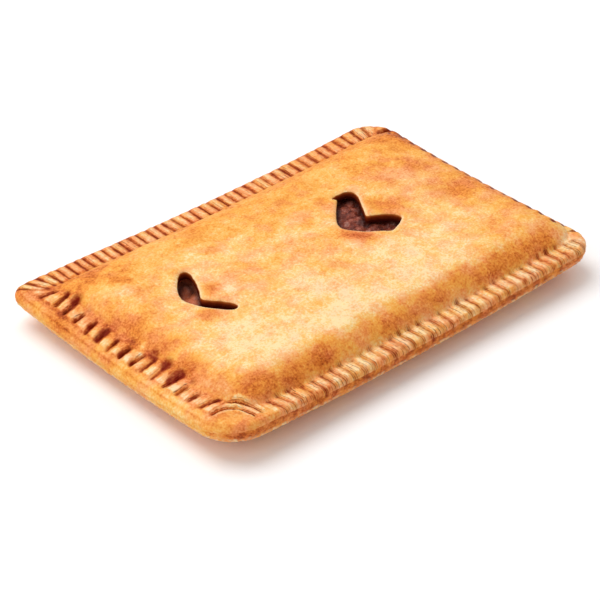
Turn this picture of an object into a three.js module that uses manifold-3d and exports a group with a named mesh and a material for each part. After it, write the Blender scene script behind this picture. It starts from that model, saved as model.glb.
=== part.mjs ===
// A flat rectangular turnover, baked golden: one crust of dough, sealed and crimped all round, with
// two V-shaped vents cut through its top, and the dark savoury filling that shows in them.
// Sizes are in millimetres. +X runs along the long side, +Y across it to the far side, +Z is up,
// and the origin is under the middle of the crust, on the table.
import * as THREE from "three";
import { mergeVertices } from "three/addons/utils/BufferGeometryUtils.js";
import Module from "manifold-3d";

const wasm = await Module();
wasm.setup();

// Driving dimensions of the crust
const crustLength = 160;
const crustWidth = 107;
const doughThickness = 3;
const rimThickness = 5.6; // the two sheets, pressed together
const rimLift = 6; // the rim's underside over the table, halfway along a side
const cornerCurl = 2.9; // how much more the corners curl up
const plateauRise = 6.2; // the edge of the raised top over the rim
const domeRise = 1.4; // how much the middle swells beyond that
const slopePower = 2.2; // how soon the slope of the raised top levels off
const creasePower = 0.75; // below 1 the slope starts with a crease
const plateauCornerRadius = 15;
const plateauInset = 22; // where the corners have taken that radius
const widestRound = 0.9; // of the half width that is left inside a ring, at most
const wallRound = 2; // rounding of the rim's outer edges
const soleCurve = 2; // power of the curve from the sole up to the rim

// The four corners in turn, anticlockwise from the far right one: which way each lies, its radius,
// how far it is pushed out of the true rectangle, and how thick the rim is there.
const corners = [
  { alongX: 1, alongY: 1, radius: 12, push: [0, 0], rim: 5.6 },
  { alongX: -1, alongY: 1, radius: 4.5, push: [-1.9, -0.4], rim: 4.7 },
  { alongX: -1, alongY: -1, radius: 12.8, push: [1.1, -0.7], rim: 5.9 },
  { alongX: 1, alongY: -1, radius: 10.5, push: [2.2, -1.1], rim: 4.7 },
];
const cornerReach = 16; // how far a corner's own rim thickness spreads

// The four sides: where the slope of the raised top starts and ends, measured in from the outline,
// how steeply the crimped band rises to it, how far in the flat sole starts, where the crimps'
// grooves start and end, and how deep they are
const sides = {
  right: { slope: [2.5, 13], band: 0, sole: 16, groove: [-2, 7], depth: 1.1 },
  far: { slope: [8.5, 24], band: 0, sole: 16, groove: [-2, 11], depth: 1.3 },
  left: { slope: [10.5, 23], band: 0.28, sole: 16, groove: [1.8, 11.2], depth: 1.8 },
  near: { slope: [6.8, 18.5], band: 0, sole: 18, groove: [-1, 8.6], depth: 1.1 },
};
const bandStart = 2.5; // where the crimped band starts to rise
const sideBlend = 5; // over which two sides' values mix at a corner
const grooveUnevenness = 0.3; // share of its depth that a groove varies by

// Soft swellings and hollows of the top: where, how wide and how high
const swellings = [
  { x: 50, y: 15, spread: 10, rise: 0.9 },
  { x: 12, y: -14, spread: 18, rise: 0.6 },
  { x: -18, y: 22, spread: 14, rise: -0.6 },
  { x: -58, y: 20, spread: 9, rise: 0.7 },
  { x: -24, y: -18, spread: 14, rise: 0.5 },
  { x: 55, y: -18, spread: 12, rise: -0.6 },
  { x: -33, y: 0, spread: 6, rise: 0.5 },
];

// The vents' outlines in plan, drawn with bends: an end point, and the control point before it
const vents = [
  {
    start: [-48.7, 3.4],
    bends: [
      { by: [-48.3, 8.6], to: [-40.9, 15.9] },
      { by: [-37, 18.2], to: [-37.6, 14.4] },
      { by: [-38.8, 9.6], to: [-44, 0.8] },
      { by: [-39.2, -4.8], to: [-38, -10.1] },
      { by: [-38.6, -12.2], to: [-42.8, -8] },
      { by: [-47.2, -3.6], to: [-48.7, 3.4] },
    ],
  },
  {
    start: [16.1, 2.3],
    bends: [
      { by: [19.3, 8], to: [26.6, 14.9] },
      { by: [26.2, 15.8], to: [25.9, 16.7] },
      { by: [32, 18.8], to: [34.2, 15.2] },
      { by: [33.9, 11.4], to: [27.5, 1] },
      { by: [35.4, -2.4], to: [36.1, -6.8] },
      { by: [33.3, -9.7], to: [27.7, -11] },
      { by: [18.2, -6.1], to: [16.1, 2.3] },
    ],
  },
];
const ventBendSteps = 5;
const ventFloor = 9; // the cutters start inside the filling's room

// The filling and its room in the crust
const roomInset = 10.5; // from the outline to the widest part of the room
const crustGap = 0.3; // left between the filling and the crust
const steamGap = 1.2; // the filling has sunk this much from under the top
const lumpSize = 4.6;
const lumpSizes = [0.75, 1.1]; // smallest and largest, as shares of that
const lumpFlatness = 0.45;
const lumpSunk = 0.5; // share of a lump's height that lies in the filling
const lumpSpread = 12; // how far from a vent's middle the lumps lie
const lumpsPerVent = 11;
const lumpSeed = 7;
const goldenAngle = Math.PI * (3 - Math.sqrt(5)); // spreads the lumps evenly

// Steps round one ring: on each corner, and between corners on a long and on a short side. The
// outline has twice as many, and the crimped band four times, a ridge and a groove by turns.
const ringSteps = { corner: 2, long: 18, short: 8 };
const coarse = 1;
const medium = 2;
const crimped = 4;

// How far in from the outline the crust's rings lie, from the middle of the underside out to the
// edge, and from there in again over the top
const soleInsets = [22, 18, 13, 8.5, 5];
const undersideInsets = [2.5, 1];
const crimpInsets = [2, 4.4, 6.8, 8.4, 10.5];
const slopeInsets = [13, 16, 19];
const plateauInsets = [24, 31, 38, 45];
const lowerRounding = { inset: 0.25, lift: 0.8 }; // a ring on the rounding of the rim's lower edge
const upperRounding = { inset: 0.5, drop: 0.8 }; // and one on its upper edge
const squareBand = [10, 20]; // the crimps are square to the outline up to here, and not past there
const crowding = 3; // power by which they crowd together towards the corners
const grooveSeed = 23;

// The room's rings: how far in from its edge each lies, and its share of the room's height
const roomRings = [
  { further: 6, share: 0 },
  { further: 3, share: 0 },
  { further: 0.4, share: 0.25 },
  { further: 0, share: 0.5 },
  { further: 1.2, share: 0.9 },
  ...[3, 6, 9, 13, 20, 27, 34.5].map((further) => ({ further, share: 1 })),
];

const mergeDistance = 0.001; // points closer than this become one

const { clamp, lerp, smoothstep } = THREE.MathUtils;
const halfLength = crustLength / 2;
const halfWidth = crustWidth / 2;

// How far a point lies in from each side of the plain rectangle
function insetsFromSides(x, y) {
  return {
    right: halfLength - x,
    far: halfWidth - y,
    left: halfLength + x,
    near: halfWidth + y,
  };
}

// A side's value, mixed with its neighbour's near a corner: weights fall off with the inset
function sideValue(x, y, pick) {
  const insets = insetsFromSides(x, y);
  let total = 0;
  let weights = 0;
  for (const [name, side] of Object.entries(sides)) {
    const weight = Math.exp(-Math.max(insets[name], 0) / sideBlend);
    total += weight * pick(side);
    weights += weight;
  }
  return total / weights;
}

// The corners share out their push by where the point lies between them
function pushed(x, y) {
  let pushX = 0;
  let pushY = 0;
  for (const { alongX, alongY, push } of corners) {
    const share = ((1 + (alongX * x) / halfLength) / 2) * ((1 + (alongY * y) / halfWidth) / 2);
    pushX += share * push[0];
    pushY += share * push[1];
  }
  return [x + pushX, y + pushY];
}

function rimBottom(x, y) {
  return rimLift + cornerCurl * (x / halfLength) ** 2 * (y / halfWidth) ** 2;
}

function rimTop(x, y) {
  let thickness = rimThickness;
  for (const { alongX, alongY, rim } of corners) {
    const away = Math.hypot(x - alongX * halfLength, y - alongY * halfWidth);
    thickness += (rim - rimThickness) * Math.exp(-((away / cornerReach) ** 2) / 2);
  }
  return rimBottom(x, y) + thickness;
}

// The top of the crust: the rim, the band that may rise, then a slope that starts with a crease and
// levels off to the plateau, the dome and the soft swellings
function topHeight(x, y, inset) {
  const start = sideValue(x, y, (side) => side.slope[0]);
  const end = sideValue(x, y, (side) => side.slope[1]);
  const band = sideValue(x, y, (side) => side.band);
  const bandHeight = (upTo) => band * Math.max(upTo - bandStart, 0);
  const climbed = (1 - (1 - clamp((inset - start) / (end - start), 0, 1)) ** slopePower) ** creasePower;
  const dome = domeRise * (1 - (x / halfLength) ** 2) * (1 - (y / halfWidth) ** 2);
  let swell = 0;
  for (const { x: atX, y: atY, spread, rise } of swellings) {
    swell += rise * Math.exp(-((x - atX) ** 2 + (y - atY) ** 2) / (2 * spread ** 2));
  }
  const rest = plateauRise + dome + swell - bandHeight(start);
  return rimTop(x, y) + bandHeight(Math.min(inset, start)) + climbed * rest;
}

// The underside: flat in the middle, then curving up to the rim
function undersideHeight(x, y, inset) {
  const sole = sideValue(x, y, (side) => side.sole);
  const climbed = clamp((sole - inset) / sole, 0, 1);
  return rimBottom(x, y) * climbed ** soleCurve;
}

// How deep the crimps' grooves are at an inset: nothing at both ends, most in the middle
function grooveDepth(x, y, inset) {
  const start = sideValue(x, y, (side) => side.groove[0]);
  const end = sideValue(x, y, (side) => side.groove[1]);
  const depth = sideValue(x, y, (side) => side.depth);
  return depth * Math.sin(Math.PI * clamp((inset - start) / (end - start), 0, 1));
}

// Random numbers from 0 to 1 that are the same each run: each state is the last one times a factor,
// less whole multiples of a prime
function makeDraw(seed) {
  const factor = 16807;
  const prime = 2147483647;
  let state = seed;
  return () => {
    state = (state * factor) % prime;
    return state / prime;
  };
}

function stepsOf(count) {
  return Array.from({ length: count }, (_, i) => i / count);
}

// The round corners of a ring at an inset: their radii go from the outline's own to the plateau's
function roundsAt(inset) {
  return corners.map(({ alongX, alongY, radius }) => {
    const wanted = lerp(radius, plateauCornerRadius, smoothstep(inset, 0, plateauInset));
    const r = Math.min(wanted, widestRound * (halfWidth - inset));
    return { r, x: alongX * (halfLength - inset - r), y: alongY * (halfWidth - inset - r) };
  });
}

function pointOn({ r, x, y }, quarters) {
  const angle = (quarters * Math.PI) / 2;
  return [x + r * Math.cos(angle), y + r * Math.sin(angle)];
}

// One ring of the crust at an inset from the outline, in plan: a rectangle with round corners. Its
// points start on the far right corner. In the crimped band a side's points stay square to the
// outline and crowd together only towards the corners, so that the crimps do too.
function ringPoints(inset, density) {
  const rounds = roundsAt(inset);
  const outline = roundsAt(0);
  const square = 1 - smoothstep(inset, ...squareBand);
  const ease = (t) => lerp(t, t ** crowding, square);
  return rounds.flatMap((round, turn) => {
    const next = (turn + 1) % rounds.length;
    const arc = stepsOf(ringSteps.corner * density).map((t) => pointOn(round, turn + t));
    const from = pointOn(round, turn + 1);
    const to = pointOn(rounds[next], turn + 1);
    const along = turn % 2; // 0 for a side along X, 1 for one along Y
    const outlineFrom = pointOn(outline[turn], turn + 1)[along];
    const outlineTo = pointOn(outline[next], turn + 1)[along];
    const sideSteps = along === 0 ? ringSteps.long : ringSteps.short;
    const side = stepsOf(sideSteps * density).map((t) => {
      const point = [...from];
      const movedFrom = (from[along] - outlineFrom) * ease(1 - t);
      const movedTo = (to[along] - outlineTo) * ease(t);
      point[along] = lerp(outlineFrom, outlineTo, t) + movedFrom + movedTo;
      return point;
    });
    return [...arc, ...side];
  });
}

// The faces between two rings. Where one has twice the points, each of its odd points hangs on the
// other ring's edge.
function facesBetween(lower, lowerCount, upper, upperCount) {
  const faces = [];
  const quads = Math.min(lowerCount, upperCount);
  for (let i = 0; i < quads; i++) {
    const j = (i + 1) % quads;
    if (lowerCount === upperCount) {
      faces.push(lower + i, lower + j, upper + j, lower + i, upper + j, upper + i);
    } else if (lowerCount > upperCount) {
      const odd = lower + 2 * i + 1;
      faces.push(lower + 2 * i, odd, upper + i, odd, upper + j, upper + i, odd, lower + 2 * j, upper + j);
    } else {
      const odd = upper + 2 * i + 1;
      faces.push(lower + i, odd, upper + 2 * i, lower + i, lower + j, odd, lower + j, upper + 2 * j, odd);
    }
  }
  return faces;
}

function middleOf(ring) {
  return [0, 1, 2].map((axis) => ring.reduce((sum, point) => sum + point[axis], 0) / ring.length);
}

// A closed solid through a stack of rings, from the bottom up, with a fan of faces on both ends
function solidFromRings(rings) {
  const index = [];
  let start = 0;
  for (let level = 0; level < rings.length - 1; level++) {
    const count = rings[level].length;
    index.push(...facesBetween(start, count, start + count, rings[level + 1].length));
    start += count;
  }
  const bottomMiddle = rings.flat().length;
  const topMiddle = bottomMiddle + 1;
  const bottom = rings[0];
  const top = rings[rings.length - 1];
  bottom.forEach((_, i) => index.push(bottomMiddle, (i + 1) % bottom.length, i));
  top.forEach((_, i) => index.push(topMiddle, start + i, start + ((i + 1) % top.length)));
  const points = [...rings.flat(), middleOf(bottom), middleOf(top)];
  const geometry = new THREE.BufferGeometry();
  geometry.setAttribute("position", new THREE.Float32BufferAttribute(points.flat(), 3));
  geometry.setIndex(index);
  return toManifold(geometry);
}

function toManifold(geometry) {
  const bare = geometry.clone();
  bare.deleteAttribute("normal");
  bare.deleteAttribute("uv");
  const merged = mergeVertices(bare, mergeDistance);
  return new wasm.Manifold(
    new wasm.Mesh({
      numProp: 3,
      vertProperties: merged.attributes.position.array,
      triVerts: new Uint32Array(merged.index.array),
    }),
  );
}

function toGeometry(solid) {
  const { vertProperties, triVerts } = solid.getMesh();
  const geometry = new THREE.BufferGeometry();
  geometry.setAttribute("position", new THREE.BufferAttribute(vertProperties, 3));
  geometry.setIndex(new THREE.BufferAttribute(triVerts, 1));
  const faceted = geometry.toNonIndexed();
  faceted.computeVertexNormals();
  return faceted;
}

// A ring in space: each point keeps its place in plan, pushed, and takes its height there
function ringAt({ inset, density, height }) {
  return ringPoints(inset, density).map(([x, y], i) => [...pushed(x, y), height(x, y, inset, i)]);
}

// The whole outside of the crust, with its crimps, before the room and the vents are cut
function crustBody() {
  const draw = makeDraw(grooveSeed);
  const unevenness = ringPoints(0, crimped).map(() => 1 + grooveUnevenness * (2 * draw() - 1));
  const crimpHeight = (x, y, inset, i) => {
    const groove = i % 2 === 1 ? unevenness[i] * grooveDepth(x, y, inset) : 0;
    return topHeight(x, y, inset) - groove;
  };
  const roundedBelow = (x, y) => rimBottom(x, y) + lowerRounding.lift;
  const roundedAbove = (x, y, inset, i) => crimpHeight(x, y, inset, i) - upperRounding.drop;
  const stations = [
    ...soleInsets.map((inset) => [inset, coarse, undersideHeight]),
    ...undersideInsets.map((inset) => [inset, medium, undersideHeight]),
    [lowerRounding.inset, medium, roundedBelow],
    [0, medium, (x, y) => rimBottom(x, y) + wallRound],
    [0, medium, (x, y) => rimTop(x, y) - wallRound],
    [upperRounding.inset, crimped, roundedAbove],
    ...crimpInsets.map((inset) => [inset, crimped, crimpHeight]),
    ...slopeInsets.map((inset) => [inset, medium, topHeight]),
    ...plateauInsets.map((inset) => [inset, coarse, topHeight]),
  ];
  return solidFromRings(
    stations.map(([inset, density, height]) => ringAt({ inset, density, height })),
  );
}

// The room inside the crust, or the filling that lies in it, from its floor to its roof. inwards
// moves every wall in, and sunk lowers the roof further.
function roomBody(inwards, sunk) {
  const floor = doughThickness + inwards;
  const roof = (x, y, inset) => topHeight(x, y, inset) - doughThickness - inwards - sunk;
  const rings = roomRings.map(({ further, share }) =>
    ringAt({
      inset: roomInset + inwards + further,
      density: coarse,
      height: (x, y, inset) => lerp(floor, roof(x, y, inset), share),
    }),
  );
  return solidFromRings(rings);
}

function ventShape({ start, bends }) {
  const shape = new THREE.Shape();
  shape.moveTo(...start);
  for (const { by, to } of bends) shape.quadraticCurveTo(...by, ...to);
  return shape;
}

function ventCutter(vent) {
  const topOfCut = 2 * (rimLift + rimThickness + plateauRise);
  const geometry = new THREE.ExtrudeGeometry(ventShape(vent), {
    depth: topOfCut - ventFloor,
    bevelEnabled: false,
    curveSegments: ventBendSteps,
  });
  geometry.translate(0, 0, ventFloor);
  return toManifold(geometry);
}

// Lumps of the filling that show in a vent, half sunk in it
function lumpsUnder(vent, draw) {
  const bounds = new THREE.Box2().setFromPoints(ventShape(vent).getPoints());
  const middle = bounds.getCenter(new THREE.Vector2());
  return Array.from({ length: lumpsPerVent }, (_, i) => {
    const angle = i * goldenAngle;
    const away = lumpSpread * Math.sqrt((i + 1) / lumpsPerVent);
    const x = middle.x + away * Math.cos(angle);
    const y = middle.y + away * Math.sin(angle);
    const radius = lumpSize * lerp(...lumpSizes, draw());
    const inset = Math.min(halfWidth - Math.abs(y), halfLength - Math.abs(x));
    const surface = topHeight(x, y, inset) - doughThickness - crustGap - steamGap;
    const geometry = new THREE.IcosahedronGeometry(radius, 0);
    geometry.scale(1, 1, lumpFlatness);
    geometry.rotateZ(angle);
    geometry.translate(x, y, surface - lumpSunk * lumpFlatness * radius);
    return toManifold(geometry);
  });
}

function crustSolid() {
  return wasm.Manifold.difference([crustBody(), roomBody(0, 0), ...vents.map(ventCutter)]);
}

function fillingSolid() {
  const draw = makeDraw(lumpSeed);
  const lumps = vents.flatMap((vent) => lumpsUnder(vent, draw));
  return wasm.Manifold.union([roomBody(crustGap, steamGap), ...lumps]);
}

const materials = {
  crust: new THREE.MeshStandardMaterial({ color: 0xe6ab62, roughness: 0.55, metalness: 0 }),
  filling: new THREE.MeshStandardMaterial({ color: 0x5a2f26, roughness: 0.4, metalness: 0 }),
};

function namedMesh(name, solid) {
  const mesh = new THREE.Mesh(toGeometry(solid), materials[name]);
  mesh.name = name;
  return mesh;
}

const empanada = new THREE.Group();
empanada.name = "empanada";
empanada.add(namedMesh("crust", crustSolid()), namedMesh("filling", fillingSolid()));

// The pushed corners leave the crust a little to one side, so it is brought back over the origin
const centre = new THREE.Box3().setFromObject(empanada).getCenter(new THREE.Vector3());
empanada.position.set(-centre.x, -centre.y, 0);

export default empanada;
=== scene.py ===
import math
from functools import partial

import bpy
import numpy as np
from mathutils import Matrix, Vector


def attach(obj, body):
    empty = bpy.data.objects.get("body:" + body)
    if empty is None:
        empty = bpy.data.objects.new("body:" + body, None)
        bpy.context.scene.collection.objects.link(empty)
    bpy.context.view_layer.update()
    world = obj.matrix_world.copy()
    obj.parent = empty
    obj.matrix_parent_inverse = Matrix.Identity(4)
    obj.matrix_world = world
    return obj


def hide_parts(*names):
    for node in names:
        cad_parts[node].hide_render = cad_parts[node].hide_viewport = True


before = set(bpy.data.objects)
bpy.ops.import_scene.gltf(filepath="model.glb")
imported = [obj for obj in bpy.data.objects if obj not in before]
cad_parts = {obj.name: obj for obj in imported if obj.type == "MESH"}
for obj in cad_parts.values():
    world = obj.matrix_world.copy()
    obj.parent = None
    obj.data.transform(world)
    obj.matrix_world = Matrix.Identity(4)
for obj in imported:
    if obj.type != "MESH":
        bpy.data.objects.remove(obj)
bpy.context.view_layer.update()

mm = 0.001  # shapes are worked out in millimetres and put into the meshes in metres

# The crust: the outline, the section from the rim up to the raised top, the crimps and the vents.
# Corners go anticlockwise from the far right one; insets are measured in from the outline.
dough = {
    "length": 160.0,
    "width": 107.0,
    "cornerX": (1, -1, -1, 1),
    "cornerY": (1, 1, -1, -1),
    "cornerRadius": (12.0, 4.5, 12.8, 10.5),
    "cornerPushX": (0.0, -1.9, 1.1, 2.2),  # how far each is pushed out of the true rectangle
    "cornerPushY": (0.0, -0.4, -0.7, -1.1),
    "cornerRim": (5.6, 4.7, 5.9, 4.7),  # rim thickness at each corner
    "cornerReach": 16.0,
    "rimThickness": 5.6,
    "rimLift": 6.0,
    "cornerCurl": 2.9,
    "plateauRise": 6.2,
    "domeRise": 1.4,
    "slopePower": 2.2,
    "plateauCornerRadius": 15.0,
    "plateauInset": 22.0,  # where the corners of the rings reach that radius
    "wallRound": 2.0,
    "bandStart": 2.5,  # how far in the crimped band starts to rise
    "sideBlend": 5.0,  # how softly the sections of two sides meet
    "leftRound": (4.5, 1.3),  # how wide and how deep the left edge rounds over, more than the others
    "leftStep": 0.35,  # and how far it steps down at the very edge
    "topWaves": ((15, 0.18, 1), (6, 0.07, 2)),  # length, height and seed of the soft waviness on top
    "rimWaves": ((3.5, 0.07, 3), (1.6, 0.04, 4)),  # and round the rim
    "doughThickness": 3.0,
    "spacing": (0.47, 0.56),  # of the mesh's lines along X and Y
    "sharpAngle": 62,
    "sides": {
        # slope of the raised top from and to, its power, rise of the crimped band, start of the flat sole
        "right": {"from": 2.5, "to": 13.0, "crease": 0.75, "band": 0.0, "sole": 16.0},
        "far": {"from": 8.5, "to": 24.0, "crease": 1.0, "band": 0.0, "sole": 16.0},
        "left": {"from": 10.5, "to": 23.0, "crease": 0.75, "band": 0.28, "sole": 16.0},
        "near": {"from": 6.8, "to": 18.5, "crease": 0.75, "band": 0.0, "sole": 18.0},
    },
    "swellings": (  # x, y, spread and rise
        (50, 15, 10, 0.9), (12, -14, 18, 0.6), (-18, 22, 14, -0.6), (-58, 20, 9, 0.7),
        (-24, -18, 14, 0.5), (55, -18, 12, -0.6), (-33, 0, 6, 0.5),
    ),
}

# The crimps of each side: the middles of their grooves from first to last, with a pitch that grows by
# the growth. They run from and to a distance in from the side, where the end strays by the wander, and
# lean by the lean, with the fan at the side's two ends. The lower sharp, the narrower a groove. Core is
# how dark the line down a groove is, line its share of the pitch, double how dark the thin lines beside
# it are, pair how far off they lie, and tip how long the dark end of a groove is. The left side's were
# pressed one by one, so each has its own middle, from, to, lean and core.
crimps = {
    # the right side's wide dark lines are painted shade: the sides of its ridges, seen edge-on
    "right": {
        "first": -44.0, "last": 44.0, "count": 17, "growth": 1.0, "from": -0.8, "to": 7.4, "lean": 0.0,
        "fan": (0.0, 0.0), "depth": 1.1, "sharp": 0.4, "core": 1.5, "line": 0.38, "double": 0.0,
        "pair": 0.2, "tip": 0.8, "wander": 0.5,
    },
    "far": {
        "first": -76.0, "last": 75.5, "count": 40, "growth": 1.28, "from": -0.8, "to": 9.3, "lean": 0.0,
        "fan": (0.55, -0.3), "depth": 0.6, "sharp": 0.4, "core": 1.05, "line": 0.12, "double": 0.8,
        "pair": 0.17, "tip": 0.8, "wander": 0.5,
    },
    "left": {
        "single": (
            (-36.3, 3.8, 10.6, -0.31, 1.2), (-31.0, 3.6, 7.8, -0.17, 0.8), (-25.7, 3.2, 7.9, -0.1, 0.9),
            (-20.0, 3.3, 10.2, -0.25, 1.4), (-13.8, 3.3, 10.2, 0.04, 1.0), (-8.6, 3.4, 9.8, -0.05, 0.9),
            (-4.0, 3.1, 9.0, -0.15, 1.0), (1.7, 3.0, 8.2, -0.04, 1.0), (7.2, 2.6, 8.2, 0.05, 0.9),
            (12.8, 3.3, 8.8, 0.13, 1.4), (18.7, 3.3, 8.8, 0.15, 1.0), (25.2, 3.9, 8.4, -0.09, 0.9),
            (30.7, 4.1, 11.0, 0.1, 1.1), (35.6, 4.6, 11.5, 0.16, 1.2), (42.4, 4.0, 10.2, -0.32, 1.1),
        ),
        "fan": (0.0, 0.0), "depth": 1.8, "sharp": 0.42, "core": 0.8, "line": 0.08, "double": 0.9,
        "pair": 0.11, "tip": 1.4,
    },
    "near": {
        "first": -58.8, "last": 74.0, "count": 33, "growth": 1.0, "from": -0.4, "to": 7.0, "lean": -0.08,
        "fan": (-0.2, 0.0), "depth": 0.45, "sharp": 0.35, "core": 0.9, "line": 0.055, "double": 0.9,
        "pair": 0.17, "tip": 0.6, "wander": 0.6,
    },
}

# The two folds that go round the near left corner: their middle, radius, depth and lines. They lie
# between the inner radius and the hold, below the top in Y, and keep the other crimps out of there. The
# outer one is there only from the outerFrom on, in X.
cornerFolds = {
    "x": -75.0, "y": -50.6, "radius": 12.3, "pitch": 3.2, "depth": 1.2, "sharp": 0.5, "outerFrom": -71.5,
    "core": 0.9, "line": 0.07, "double": 0.6, "pair": 0.17, "hold": 14.4, "inner": 7.4, "top": -40.5,
    "waves": ((7, 0.25, 12),),
}
crimping = {
    "seed": 23,
    "wander": 0.1,  # how far a groove strays, as a share of the pitch
    "unevenness": 0.3,  # of the depth
    "edgeFade": 1.8,  # how far in from its edge the relief reaches its full depth
    "leanWander": 0.05,
    "fanReach": 14.0,  # how far from a side's ends the fan reaches
    "mitre": 1.2,  # how softly the crimps of two sides meet, and how far the bias moves that at each corner
    "mitreBias": {
        "near": (0.0, 0.0, 2.0, 7.0),
        "far": (1.0, 1.5, 0.0, 0.0),
        "left": (0.0, -1.5, 6.0, 0.0),
        "right": (-1.0, 0.0, 0.0, -7.0),
    },
    "crown": 0.2,  # how much of the depth the ridges stand over the band
}

# Dark burnt spots at the crimps: x, y, spread and strength
burntSpots = (
    (-70.6, 31.6, 1.6, 1.4), (-70.4, 37, 1.1, 0.9), (-71, 24.4, 1, 0.7), (-76, 24.8, 0.8, 0.8),
    (-74.8, 18.7, 1.1, 1.1), (-76.6, 12.8, 1.1, 1.1), (-73.6, 13, 1.4, 1.4), (-75.7, 1.6, 1.1, 1.1),
    (-70.5, 2.4, 1, 0.9), (-76.1, -4.2, 1, 1), (-70.1, -7.6, 1.4, 1.4), (-70.1, -14, 1.5, 1.5),
    (-70.8, -20.4, 1.7, 1.6), (-73.6, -20.3, 1.2, 1.2), (-69.8, -26.4, 1.1, 0.8), (-69.6, -38.4, 0.9, 0.7),
    (-68.6, -47.2, 0.8, 0.6), (47.5, -53.5, 0.8, 0.6), (67.4, -51.7, 1, 0.7), (71.4, -51.2, 1.1, 0.7),
    (75.5, -50.1, 0.9, 0.5),
)

# How each side baked: its slope, from the foot to the end, its crimped band, how much paler the ridges
# are, partly their own colour and partly a painted highlight on their tops, and its wall
bakedSides = {
    "right": {"foot": 2.5, "end": 11.0, "slope": 0.24, "band": 0.3, "ridge": 0.12, "wall": 0.56},
    "far": {"foot": 9.0, "end": 20.0, "slope": 0.08, "band": 0.22, "ridge": 0.36, "wall": 0.62},
    "left": {"foot": 11.0, "end": 17.0, "slope": 0.16, "band": 0.3, "ridge": 0.42, "wall": 0.38},
    "near": {"foot": 7.0, "end": 15.0, "slope": 0.5, "band": 0.26, "ridge": 0.28, "wall": 0.74},
}

# How brown the top is, from 0, pale, to 1, dark brown: palest towards the near side, and browner by
# steps towards the far and the right side, each with from, to and how much
browning = {
    "palest": 0.13,
    "towardsFar": ((-25, 5, 0.12), (12, 32, 0.15)),
    "towardsRight": ((48, 66, 0.12),),
    "waves": ((22, 0.05, 41), (9, 0.04, 42)),  # length, height and seed, as in the next two
    "wallWaves": ((5, 0.07, 47),),
    "softWaves": ((9, 0.6, 44), (3.5, 0.4, 45)),  # by which its borders wander
    "burntSpots": 0.35,
    "sole": 0.42,
    "soleEdge": 0.2,
}

# Where it is redder than the rest: x, y, spread and how much
rosyPatches = ((-34, 1, 5, 0.7), (55, 8, 7, 0.5), (16, -6, 4, 0.7), (80, -53, 5, 0.6))

# Where the top is browner or paler than the rest: x, y, spread and how much
bakedPatches = (
    (56, 20, 4, 0.2), (62, 13, 4, 0.22), (49, 21, 4, 0.14), (55, 13, 3.5, -0.1),
    (47, 12, 2.6, 0.2), (64, -6, 6, 0.3), (39, -2, 4.5, 0.28), (34, 5, 3, 0.24),
    (22, 15, 3, 0.18), (14.5, -4, 2.4, 0.46), (18.5, -9, 2.6, 0.46), (17, -6.5, 2.4, 0.2),
    (-48, -8, 3.6, 0.36), (-38.5, 2.8, 2.6, 0.46), (-28, 5, 4, 0.16), (-34.5, -1.5, 1.6, -0.3),
    # the pale spots at (-70, -1.8) and (-72.4, -3.7), ending this line and starting the next, are painted
    # highlights on glossy blisters
    (-41, -43, 5, -0.12), (57, 24, 4, -0.12), (62, 4, 4, -0.22), (-70, -1.8, 0.9, -0.5),
    (-72.4, -3.7, 0.8, -0.5), (-58.6, 27.6, 1.5, 0.22), (-57, 25.4, 1.5, 0.28), (-55.3, 23.1, 1.5, 0.26),
    (50, -30, 6, 0.12), (20, 19, 6, 0.1), (-68, 5, 6, 0.2), (-66, 34, 6, 0.16),
    (-62, -12, 4, 0.16), (-34, 15, 9, -0.08), (-56, -24, 9, -0.08), (0, -31, 14, -0.05),
    (-73, -50, 4.5, 0.1), (-64, -43, 7, 0.16), (80, -53, 5, -0.3), (74, -43, 3.5, -0.18),
    (0, -8, 12, 0.08), (48, 2, 6, 0.06), (-80, 38, 9, -0.1), (-67, -18, 4, 0.24),
    (-67, -9, 3, 0.16), (-66, -27, 3, 0.18), (-68, 14, 4, 0.12), (-68, 30, 3, -0.22),
    (-73.5, 25.2, 2.2, -0.3), (64, -50, 10, -0.08), (75, 51, 6, -0.32), (22.6, -46.2, 2.5, -0.28),
    (-21, -39.5, 5, -0.2), (-46, -48, 2.5, 0.28), (-33, -45.8, 2.5, 0.2), (68, -25, 5, 0.2),
    (56, -33, 5, 0.2), (41, -38, 3.5, 0.16), (-68.4, -22, 2.5, 0.24), (-72.6, -16.3, 2, 0.2),
    (50, 26, 3, -0.14),
)

# The vents' outlines in plan: points that a smooth closed curve runs through
vents = (
    (
        (-48.7, 3.4), (-48.5, 5.9), (-46.7, 9.6), (-43.6, 13.4), (-40.9, 15.9), (-38.4, 16.4), (-37.6, 14.4),
        (-38.6, 11.2), (-40.1, 7.8), (-42.2, 3.9), (-44.0, 0.8), (-42.3, -2.3), (-40.1, -4.7), (-38.3, -7.7),
        (-38.0, -10.1), (-40.0, -10.7), (-42.8, -8.0), (-45.0, -5.6), (-46.6, -2.9), (-47.8, 0.2),
    ),
    (
        (16.1, 2.3), (18.1, 5.7), (23.0, 11.2), (26.6, 14.9), (25.9, 16.7), (29.5, 17.4), (32.7, 17.0),
        (34.2, 15.2), (33.8, 12.5), (32.1, 9.1), (29.4, 4.5), (27.5, 1.0), (29.9, -0.3), (32.6, -1.8),
        (35.3, -4.0), (36.1, -6.8), (33.9, -8.7), (30.6, -10.2), (27.7, -11.0), (24.9, -8.8), (21.4, -6.3),
        (18.2, -3.4), (16.3, -0.4),
    ),
)
ventEdge = {
    "spacing": 0.45, "lipRound": 0.8, "lipDrop": 0.4, "lipRise": 0.3, "lipAway": 1.6, "lipWidth": 1.3,
    "from": 9, "to": 24, "levels": 31,  # where the cut starts and ends, in height
    "roughness": 0.05, "grain": 2.6,  # of its wall
    "reachX": 22, "reachY": 26,  # how far from its middle a vent has any say
}

halfLength = dough["length"] / 2
halfWidth = dough["width"] / 2
sides = dough["sides"]

# Steps round the rim: on each corner, and on the side that comes after it
ringCorner = 2
ringSide = (18, 8, 18, 8)
ringStart = np.cumsum([0, *[ringCorner + steps for steps in ringSide]])


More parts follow.
